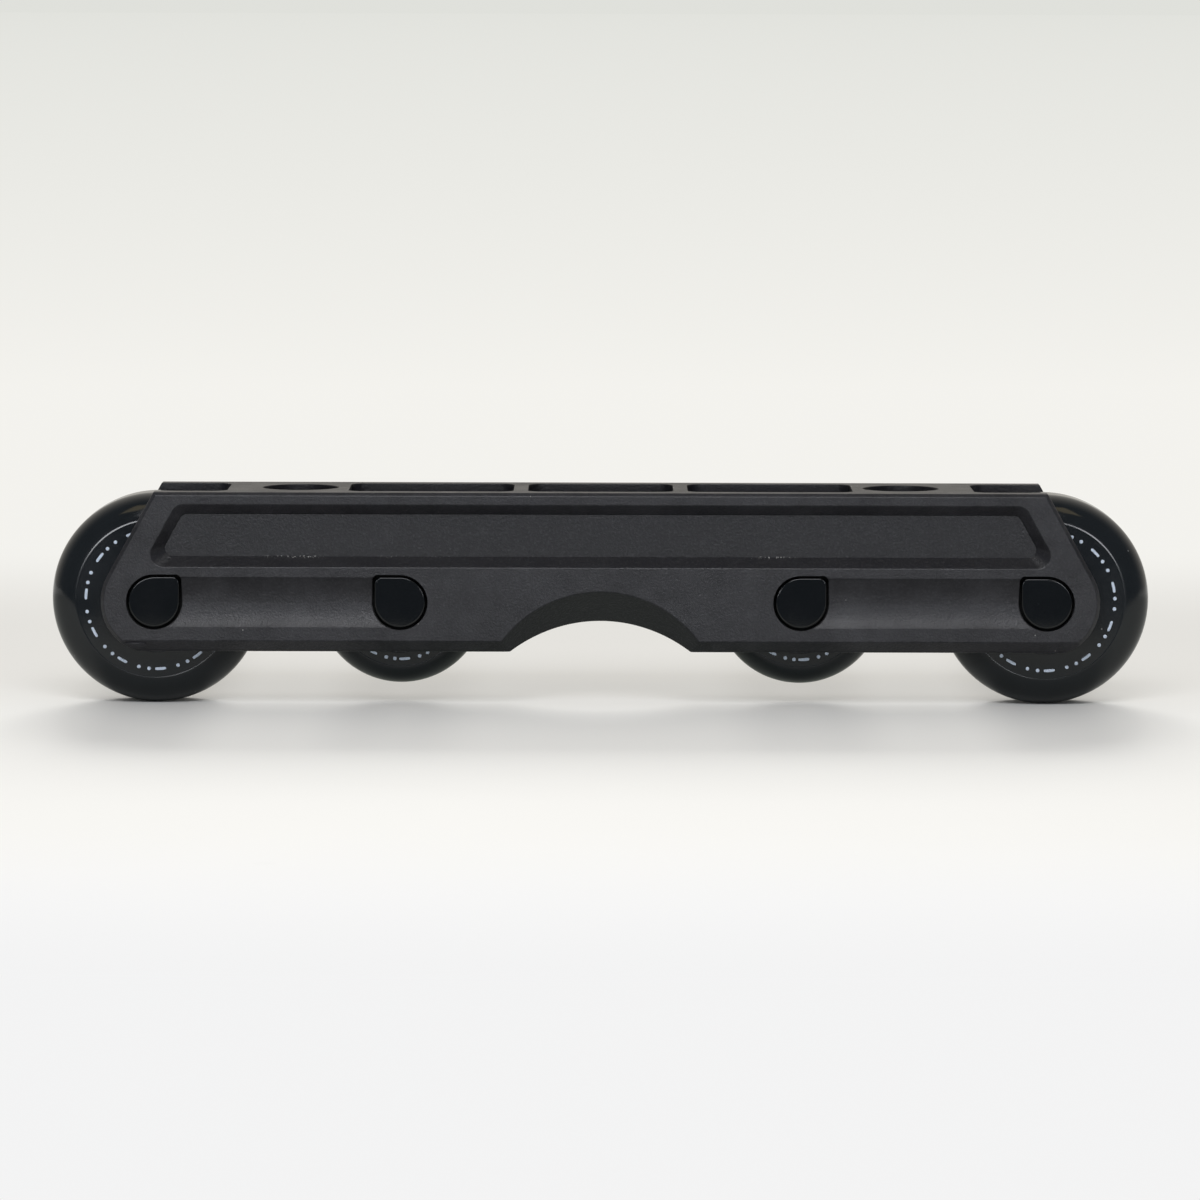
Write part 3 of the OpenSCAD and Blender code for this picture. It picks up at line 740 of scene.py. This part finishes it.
# Every mark is a blunt oval of length and width bent round the wheel, a stack of three outlines
def makePrint(station):
    facts = printFacts
    place = axlePlace(station)
    ring = facts["ring"][station]
    count = facts["ticks"]
    pitch = 2 * np.pi / count
    tick = np.arange(count) * pitch + facts["first"]
    gap, shift = facts["gap"], facts["dotShift"]
    middle = np.concatenate([
        tick, tick + gap * pitch + shift, tick + (gap + facts["dotGap"]) * pitch + shift])[:, None, None]

    # a value of each tick, then of the two dots that follow each
    def perMark(tickLabel, dotLabel):
        return np.repeat([facts[tickLabel], facts[dotLabel]], [count, 2 * count])[:, None]

    oval = bluntOval(roundAngles(facts["outline"]), [perMark("tickPower", "dotPower")] * 2)
    along = (perMark("tickLong", "dotWide") / 2 * oval[0])[:, None, :]
    over = (perMark("tickWide", "dotWide") / 2 * oval[1])[:, None, :]
    shrink, lift = (np.array(facts[label])[None, :, None] for label in ("shrink", "lift"))
    angle = middle + shrink * along / ring
    radius = ring + shrink * over
    x, z = place[0] + radius * np.cos(angle), place[2] + radius * np.sin(angle)
    points, faces = [], []
    for side in (-1, 1):
        y = place[1] + side * (beadArc(tyreFaces[station])[0, 1] + lift) + 0 * angle
        for rings in np.stack([x, y, z], axis=-1) * mm:
            markPoints, markFaces = joinRings(rings, False, sum(len(p) for p in points))
            points.append(markPoints)
            faces += markFaces
    piece = makePiece(station + "_print", np.vstack(points), faces, printInk, facts["crease"])
    placePiece(piece, station + "_wheel")


# Hubs: turned core with a softened lip outside each bearing
hubFacts = dict(
    outer=14.5, lip=12.1, seat=11.0, stop=9.7, stopHalf=5.1, soft=(0, 0, 0, 0, 0.1, 0.3, 0.1, 0.3),
    roundSteps=5, turnSteps=160, crease=40.0)


def makeHub(station):
    facts = hubFacts
    outer, lip, seat, half = facts["outer"], facts["lip"], facts["seat"], facts["stopHalf"]
    core = np.array(keyRidge(outer) + [[outer, lip], [seat, lip], [seat, half], [facts["stop"], half]])
    section = mirrorSection(core, facts["soft"], facts["roundSteps"])
    rings = turnSection(section, axlePlace(station), facts["turnSteps"])
    piece = makeRingPiece(station + "_wheelCore", rings, True, hubNylon, facts["crease"])
    placePiece(piece, station + "_wheel", station + "_hub")


for station in stations:
    makeTyre(station)
    makePrint(station)
    makeHub(station)
print("tyres, print and hubs built")


# Axles: keyed head with a soft edge, shank through the bearings, and the bore for the screw
axleFacts = dict(
    head=6.9, corner=1.8, front=-19.7, seat=-16.5, edge=0.32, edgeSteps=9, crown=0.01,
    crownShares=(0.15, 0.4, 0.65, 0.85, 0.96), shank=3.98, end=15.7, endBevel=0.4, bore=3.05, boreEnd=-0.5,
    boreTip=0.3, boreCone=1.5, points=240, crease=48.0, leastWave=0.1,
    key={"rear": 1, "rear_antirocker": -1, "front_antirocker": 1, "front": -1})


# Polar outline of a round with one square corner that is rounded: the circle, or the wall of the square,
# or the corner's own arc, whichever the ray from the middle meets
def keyRadius(angle, radius, corner, side):
    turned = np.arctan2(np.sin(angle), side * np.cos(angle)) % (2 * np.pi)
    radius, corner = radius[:, None], corner[:, None]
    inset = radius - corner
    c, s = np.cos(turned), np.sin(turned)
    wall = radius / np.maximum(np.maximum(c, s), axleFacts["leastWave"])
    arc = inset * (c + s) + np.sqrt(np.maximum(corner ** 2 - inset ** 2 * (c - s) ** 2, 0))
    inArc = (radius * s > inset * c) & (radius * c > inset * s)
    cornerPart = np.where(inArc, arc, wall)
    return np.where(turned < np.pi / 2, cornerPart, radius + 0 * turned)


def makeAxle(station):
    facts = axleFacts
    angle = roundAngles(facts["points"])
    bend = np.linspace(0, np.pi / 2, facts["edgeSteps"])
    edge, corner, seat = facts["edge"], facts["corner"], facts["seat"]
    # the head from the middle of its crowned front, over the soft edge, to its seat
    share = np.array(facts["crownShares"])
    flat, brim = facts["head"] - edge, facts["front"] + facts["crown"]
    headRadius = np.concatenate([share * flat, flat + edge * np.sin(bend), [facts["head"]]])
    headCorner = np.concatenate([corner * share, corner - edge + edge * np.sin(bend), [corner]])
    crown = facts["crown"] * (1 - share ** 2)
    headDepth = np.concatenate([brim - crown, brim + edge - edge * np.cos(bend), [seat]])
    head = keyRadius(angle, headRadius, headCorner, facts["key"][station])
    # the shank to its bevelled end, and the bore back to its tip
    shank, end, bevel, bore = facts["shank"], facts["end"], facts["endBevel"], facts["bore"]
    floor = facts["boreEnd"]
    rodRadius = np.array([shank, shank, shank, shank - bevel, bore, bore, facts["boreTip"]])
    rodDepth = np.array([seat, 0.0, end - bevel, end, end, floor, floor - facts["boreCone"]])
    radii = np.vstack([head, rodRadius[:, None] + 0 * angle])
    rings = stackOutlines(radii, np.concatenate([headDepth, rodDepth]), angle, axlePlace(station))
    piece = makeRingPiece(station + "_keyedAxle", rings, False, axleBlack, facts["crease"])
    placePiece(piece, "chassis", station + "_axle")


# Screws: round head with a soft edge and a hex socket, on the far side
screwFacts = dict(
    head=6.5, front=19.7, seat=16.5, edge=0.5, edgeSteps=7, flats=4.0, socketDepth=2.2, socketTip=0.4,
    socketCone=0.3, lead=0.25, tip=0.5, thread=3.0, threadEnd=0.5, threadStart=15.4, pitch=1.0,
    threadCut=0.3, points=192, crease=38.0)


# The socket is a hexagon in polar form: half the width across flats over the cosine of the angle from a flat
def makeScrew(station):
    facts = screwFacts
    angle = roundAngles(facts["points"])
    hexagon = facts["flats"] / 2 / np.cos((angle + np.pi / 6) % (np.pi / 3) - np.pi / 6)
    bend = np.linspace(0, np.pi / 2, facts["edgeSteps"])[:, None]
    edge, front, seat = facts["edge"], facts["front"], facts["seat"]
    lead, whole = facts["lead"], 1 + 0 * angle
    mouth = facts["flats"] / 2 / math.cos(math.pi / 6) + lead
    # thread crests and roots up the shank
    turns = np.arange(facts["threadEnd"] + facts["tip"], facts["threadStart"], facts["pitch"] / 2)
    crest = facts["thread"] - facts["threadCut"] * (np.arange(len(turns)) % 2)
    tip = facts["thread"] - facts["tip"]
    radii = np.vstack([
        tip * whole, crest[:, None] * whole, facts["thread"] * whole, facts["head"] * whole,
        (facts["head"] - edge + edge * np.cos(bend)) * whole, mouth * whole, hexagon, hexagon,
        facts["socketTip"] * hexagon])
    floor = front - facts["socketDepth"]
    depths = np.concatenate([
        [facts["threadEnd"]], turns, [seat, seat], front - edge + edge * np.sin(bend[:, 0]),
        [front, front - lead, floor, floor - facts["socketCone"]]])
    rings = stackOutlines(radii, depths, angle, axlePlace(station))
    piece = makeRingPiece(station + "_socketScrew", rings, False, screwBlack, facts["crease"])
    placePiece(piece, "chassis", station + "_axle_screw")


for station in stations:
    makeAxle(station)
    makeScrew(station)
print("axles and screws built")


# Bearings keep their CAD shapes and get turned steel, polished balls, pressed shields and a moulded cage
bearingFacts = dict(
    outer_rings=dict(dark=(0.5, 0.51, 0.53), pale=(0.64, 0.65, 0.67), rough=(0.2, 0.32), rings=9000.0),
    inner_rings=dict(dark=(0.52, 0.53, 0.55), pale=(0.68, 0.69, 0.7), rough=(0.16, 0.28), rings=9000.0),
    balls=dict(dark=(0.66, 0.67, 0.69), pale=(0.72, 0.73, 0.75), rough=(0.05, 0.1), rings=2500.0),
    shields=dict(dark=(0.42, 0.43, 0.45), pale=(0.52, 0.53, 0.55), rough=(0.28, 0.42), rings=5000.0),
    spacer=dict(dark=(0.6, 0.61, 0.62), pale=(0.74, 0.75, 0.76), rough=(0.26, 0.38), rings=7000.0))
metalFacts = dict(smear=240.0, bump=0.12, rise=0.00003)


# Turned metal about one axle: fine rings in the height and tone, and smears of oil in the gloss
def makeTurnedMetal(name, middle, dark, pale, rough, rings):
    facts = metalFacts
    look, tree, shader, point = startLook(name, {"Metallic": 1.0}, middle)
    turned = useGroup(tree, latheRings, point, rings)
    marks = useGroup(tree, handling, point, facts["smear"])
    tone = blendColour(tree, turned["Tone"], dark, pale)
    gloss = between(tree, marks["Smear"], *rough)
    finishLook(tree, shader, tone, gloss, turned["Height"], facts["bump"], facts["rise"])
    return look


# Gives a CAD node one finish and leaves its shape
def coatNode(name, look):
    mesh = nodes[name].data
    mesh.materials.clear()
    mesh.materials.append(look)


for station in stations:
    for part, finish in bearingFacts.items():
        name = station + "_bearing_" + part
        coatNode(name, makeTurnedMetal(name, axlePlace(station), **finish))
    coatNode(station + "_bearing_cages", cageNylon)
print("bearing finishes set")


# Studio: pale sweep with a dim room in front, a bright end behind, softboxes above, two fills by the camera
studioFacts = dict(
    paint=(0.9, 0.893, 0.872), paintShadedRear=(0.79, 0.775, 0.745), rear=(-0.04, 0.06), smear=9.0, scuff=0.03,
    scuffTone=(0.6, 0.58, 0.55), dustScale=26.0, dustPart=0.05, dustShown=0.04, dustTone=(0.4, 0.38, 0.35),
    rough=(0.6, 0.8), paintShadeDim=(0.61, 0.615, 0.59), paintShadeUnder=(0.41, 0.44, 0.405), under=(0.055, 0.03),
    underStretch=0.55, glowNear=(0.9, 0.89, 0.853), glowFar=(0.743, 0.75, 0.712), glowFront=(0.9, 0.9, 0.902),
    glowTurn=(-0.24, -0.4), fade=1.43, stretch=0.45, join=(0.2, 0.5), shadowLift=0.33, wheelShadowLift=(0.17, 0.0),
    wheelReach=(0.027, 0.006), wheelFront=(-0.17, -0.09), reach=150.0, edge=-0.225,
    roomDark=(0.17, 0.185, 0.205), roomBack=(0.62, 0.595, 0.55), back=(-0.15, 0.7),
    roomLow=(0.12, 0.135, 0.16), low=(0.0, -0.03))
fillShared = dict(size=(0.32, 0.26), colour=(0.94, 0.96, 1))
warmShared = dict(size=(0.18, 0.27), colour=(1, 0.82, 0.48), power=0.15)
lampFacts = dict(
    backSoftbox=dict(
        place=(0, 3.394, 1.583), aim=(0, 0, 0), size=(1.2, 1.05), power=116, colour=(1, 0.99, 0.965),
        gloss=False),
    frontSoftbox=dict(
        place=(-0.03, -0.755, 0.686), aim=(0, 0, 0.03), size=(0.5, 0.46), power=4.5, colour=(0.96, 0.97, 1)),
    leftFill=dict(fillShared, place=(-0.44, -1.75, 0.154), aim=(-0.1, 0, 0.04), power=2.75),
    rightFill=dict(fillShared, place=(0.47, -1.75, 0.142), aim=(0.1, 0, 0.04), power=2.15),
    leftWarm=dict(warmShared, place=(-0.33, -0.33, 0.71), aim=(-0.13, 0, 0.05)),
    rightWarm=dict(warmShared, place=(0.33, -0.33, 0.71), aim=(0.13, 0, 0.05)))


# Distance from the origin with the length along the frame scaled first
def spreadFrom(tree, point, stretch):
    spread = addNode(tree, "Mapping", {"Vector": point, "Scale": (stretch, 1, 1)}).outputs[0]
    return addNode(tree, "VectorMath", {0: spread}, operation="LENGTH").outputs["Value"]


# Sweep paint lit by the lamps near the object; further off its own pale tone takes over by distance for the
# rays that see it, so the shadow stays and the far end doesn't go dark
def makeSweep():
    facts = studioFacts
    look, tree, shader, point = startLook("paleSweep", {"Specular IOR Level": 0.0})
    distance = spreadFrom(tree, point, facts["stretch"])
    marks = useGroup(tree, handling, point, facts["smear"])
    along, depth = addNode(tree, "SeparateXYZ", {"Vector": point}).outputs[:2]
    # the share of its own tone that the paint keeps near the object, a painted light that lifts the shadow:
    # least in front of the wheels, so that their shadow stays deep
    aside = calc(tree, "ABSOLUTE", offAxle(tree, along))
    wheel = remap(tree, aside, *facts["wheelReach"], smooth=True)
    front = remap(tree, depth, *facts["wheelFront"], smooth=True)
    own = remap(tree, calc(tree, "ABSOLUTE", along), innerAxle, outerAxle, *facts["wheelShadowLift"])
    shadowLift = between(tree, times(tree, wheel, front), facts["shadowLift"], own)
    # the paint that is seen: darker to the rear as a painted shade behind the object, with scuffs and dust
    rear = remap(tree, depth, *facts["rear"], smooth=True)
    coat = blendColour(tree, rear, facts["paint"], facts["paintShadedRear"])
    scuffed = blendColour(tree, times(tree, marks["Smear"], facts["scuff"]), coat, facts["scuffTone"])
    speck = blendColour(tree, dustOn(tree, point, facts), scuffed, facts["dustTone"])
    # painted shade in what the gloss of the object's lower sides shows of the paint and in the light the
    # paint bounces onto
    # the object: dimmer, and most so below the groove
    path = addNode(tree, "LightPath").outputs
    below = spreadFrom(tree, point, facts["underStretch"])
    under = remap(tree, below, *facts["under"], smooth=True)
    dim = blendColour(tree, under, facts["paintShadeDim"], facts["paintShadeUnder"])
    paint = blendColour(tree, path["Is Camera Ray"], dim, speck)
    rough = between(tree, marks["Smear"], *facts["rough"])
    fillInputs(tree, shader, {"Base Color": paint, "Roughness": rough})
    # its own tone: neutral in front, warm round the object, grey to the rear by one over the distance's root
    turned = remap(tree, depth, *facts["glowTurn"], smooth=True)
    near = blendColour(tree, turned, facts["glowNear"], facts["glowFront"])
    fade = remap(tree, calc(tree, "POWER", distance, -0.5), facts["fade"] ** -0.5, 0.0)
    glow = addNode(tree, "Emission", {"Color": blendColour(tree, fade, near, facts["glowFar"])})
    far = remap(tree, distance, *facts["join"], smooth=True)
    mirrored = calc(tree, "MAXIMUM", path["Is Glossy Ray"], path["Is Transmission Ray"])
    direct = times(tree, path["Is Camera Ray"], between(tree, far, shadowLift, 1.0))
    share = calc(tree, "MAXIMUM", direct, times(tree, mirrored, far))
    sweep = addNode(tree, "MixShader", {0: share, 1: shader.outputs[0], 2: glow.outputs[0]})
    fillInputs(tree, tree.nodes["Material Output"], {"Surface": sweep.outputs[0]})
    return look


# A flat stretch of the sweep between two depths
def makeFloor(name, look, front, back):
    side = studioFacts["reach"]
    mesh = bpy.data.meshes.new(name)
    corners = [(-side, front, 0), (side, front, 0), (side, back, 0), (-side, back, 0)]
    mesh.from_pydata(corners, [], [(0, 1, 2, 3)])
    mesh.materials.append(look)
    floor = bpy.data.objects.new(name, mesh)
    bpy.context.scene.collection.objects.link(floor)
    return floor


# Room light by direction: dark in front, bright behind and dim below the level; the camera sees the far tone
# of the sweep instead
def makeRoom():
    facts = studioFacts
    world = bpy.data.worlds.new("studio")
    bpy.context.scene.world = world
    world.use_nodes = True
    tree = world.node_tree
    tree.nodes.clear()
    parts = addNode(tree, "SeparateXYZ", {"Vector": addNode(tree, "TexCoord").outputs["Generated"]}).outputs
    behind = remap(tree, parts[1], *facts["back"], smooth=True)
    upper = blendColour(tree, behind, facts["roomDark"], facts["roomBack"])
    room = blendColour(tree, remap(tree, parts[2], *facts["low"]), upper, facts["roomLow"])
    seen = addNode(tree, "LightPath").outputs["Is Camera Ray"]
    shown = blendColour(tree, seen, room, facts["glowFar"])
    light = addNode(tree, "Background", {"Color": shown})
    addNode(tree, "OutputWorld", {"Surface": light.outputs[0]})


# Area light at a place, turned to face a point; one without gloss lights surfaces and isn't mirrored in them
def addLamp(name, place, aim, size, power, colour, gloss=True):
    lamp = bpy.data.lights.new(name, "AREA")
    lamp.shape = "RECTANGLE"
    lamp.size, lamp.size_y = size
    lamp.energy = power
    lamp.color = colour
    holder = bpy.data.objects.new(name, lamp)
    holder.location = place
    holder.rotation_euler = (Vector(aim) - Vector(place)).to_track_quat("-Z", "Y").to_euler()
    holder.visible_glossy = gloss
    bpy.context.scene.collection.objects.link(holder)


# The sweep in front of its edge is left out of reflections, so that gloss there falls off into the dim room
paleSweep = makeSweep()
makeFloor("floor", paleSweep, studioFacts["edge"], studioFacts["reach"])
makeFloor("floorFront", paleSweep, -studioFacts["reach"], studioFacts["edge"]).visible_glossy = False
makeRoom()
for name, lamp in lampFacts.items():
    addLamp(name, **lamp)
print("studio built")


# Camera at the photograph's angle: a little above the deck, long lens
cameraFacts = dict(
    place=(0.0, -1.72, 0.192), aim=(-0.00012, 0.0, 0.02797), lens=186.9, roll=0.14, farEnd=1000)


def makeCamera():
    facts = cameraFacts
    lens = bpy.data.cameras.new("camera")
    lens.lens = facts["lens"]
    lens.clip_end = facts["farEnd"]
    camera = bpy.data.objects.new("camera", lens)
    turn = (Vector(facts["aim"]) - Vector(facts["place"])).to_track_quat("-Z", "Y").to_matrix()
    rolled = turn @ Matrix.Rotation(math.radians(facts["roll"]), 3, "Z")
    camera.location = facts["place"]
    camera.rotation_euler = rolled.to_euler()
    bpy.context.scene.collection.objects.link(camera)
    bpy.context.scene.camera = camera


makeCamera()
bpy.context.scene.view_settings.view_transform = "Standard"
